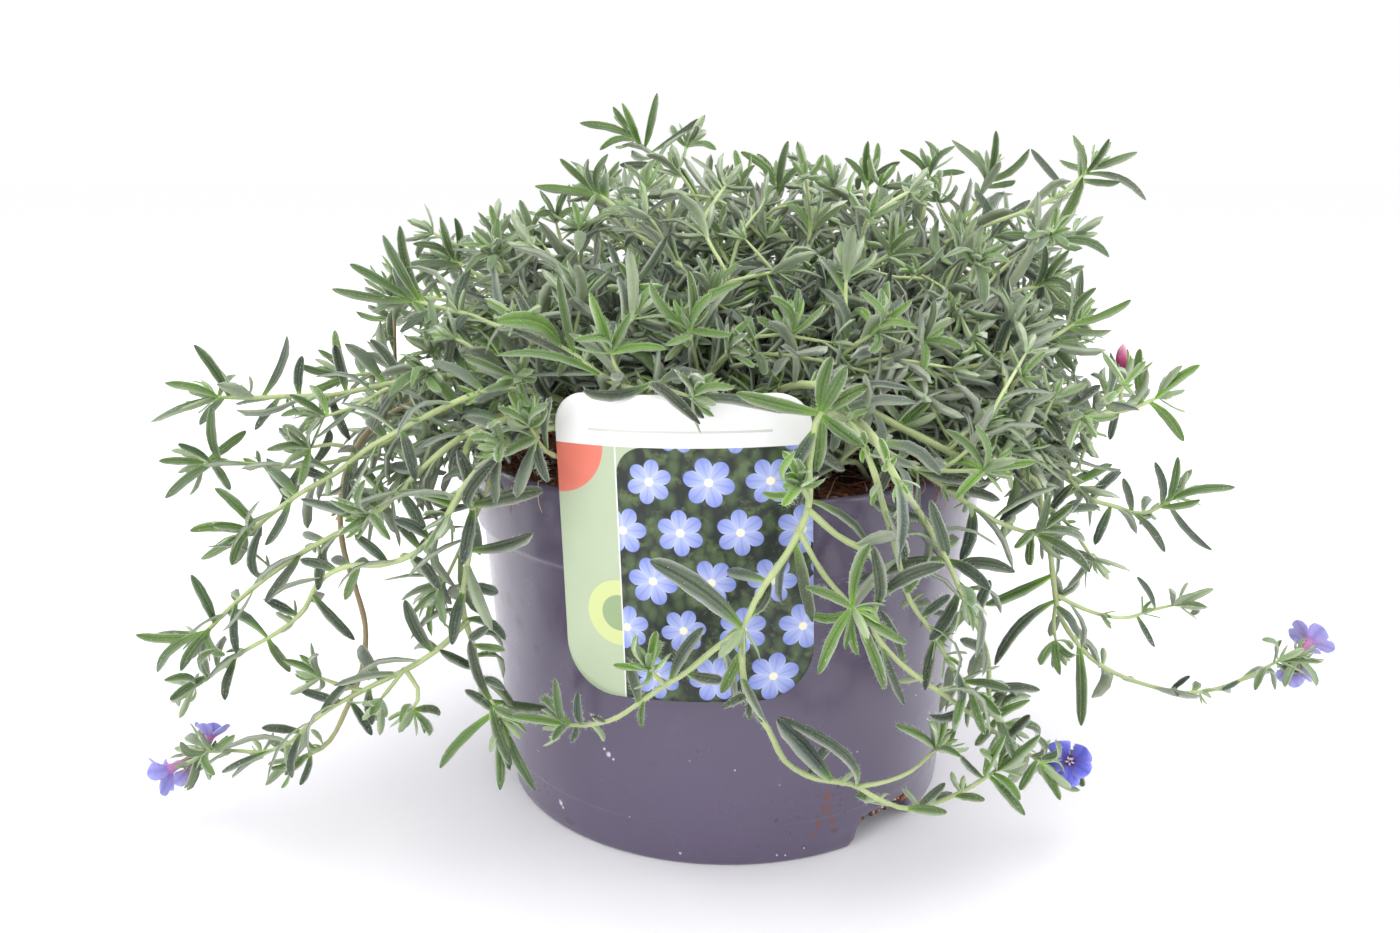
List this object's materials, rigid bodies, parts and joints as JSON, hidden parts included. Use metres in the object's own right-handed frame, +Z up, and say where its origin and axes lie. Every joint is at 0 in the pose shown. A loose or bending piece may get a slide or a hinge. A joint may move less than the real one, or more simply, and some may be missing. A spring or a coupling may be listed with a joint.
{
  "type": "potted trailing plant",
  "caption": "Trailing evergreen lithodora with narrow hairy leaves and blue flowers, growing in a round tapered nursery pot with a plant label over the rim.",
  "frame": {"origin": "middle of the underside of the pot", "axes": "+Z up along the pot's axis, -Y towards the front, where the label hangs, +X to the right"},
  "size_m": [0.3365, 0.2531, 0.201],
  "materials": {
    "pot": "matt moulded polypropylene, dark grey violet, scuffed",
    "soil": "fibrous brown peat and coir",
    "label": "printed smooth plastic card",
    "bark": "fine flaking bark",
    "foliage": "matt grey green leaves and pale green stems with short white hairs",
    "petal": "soft blue violet petals",
    "bud": "soft magenta petals still furled"
  },
  "bodies": {
    "root": {"pot": "pot", "root_ball": "soil", "plant_label": "label", "crown": "bark", "shoot_left_ridge": "foliage", "shoot_left_top": "foliage", "shoot_left_level": "foliage", "shoot_left_mid": "foliage", "shoot_left_low_1": "foliage", "shoot_left_low_2": "foliage", "shoot_left_low_3": "foliage", "shoot_left_woody": "foliage", "shoot_left_front": "foliage", "shoot_top_left": "foliage", "shoot_top_fan": "foliage", "shoot_top_left_2": "foliage", "shoot_top_mid": "foliage", "shoot_top_front": "foliage", "shoot_top_centre": "foliage", "shoot_top_right": "foliage", "shoot_top_right_2": "foliage", "shoot_top_right_3": "foliage", "shoot_front_star_1": "foliage", "shoot_front_star_2": "foliage", "shoot_front_star_3": "foliage", "shoot_centre_right": "foliage", "shoot_right_upper": "foliage", "shoot_right_fan": "foliage", "shoot_right_level": "foliage", "shoot_right_bud": "foliage", "shoot_right_drop": "foliage", "shoot_right_long": "foliage", "shoot_right_front_1": "foliage", "shoot_right_front_2": "foliage", "shoot_right_front_3": "foliage", "shoot_front_main": "foliage", "shoot_rim_left": "foliage", "shoot_rim_right": "foliage", "shoot_back_1": "foliage", "shoot_back_2": "foliage", "shoot_back_3": "foliage", "shoot_back_4": "foliage", "shoot_back_5": "foliage", "shoot_back_6": "foliage", "shoot_back_7": "foliage", "shoot_back_8": "foliage", "shoot_back_9": "foliage", "shoot_back_10": "foliage", "shoot_back_11": "foliage", "shoot_back_12": "foliage", "flower_left_1": "petal", "flower_left_2": "petal", "flower_left_3": "petal", "flower_right_1": "petal", "flower_right_2": "petal", "flower_front": "petal", "flower_bud": "bud"}
  },
  "joints": []
}
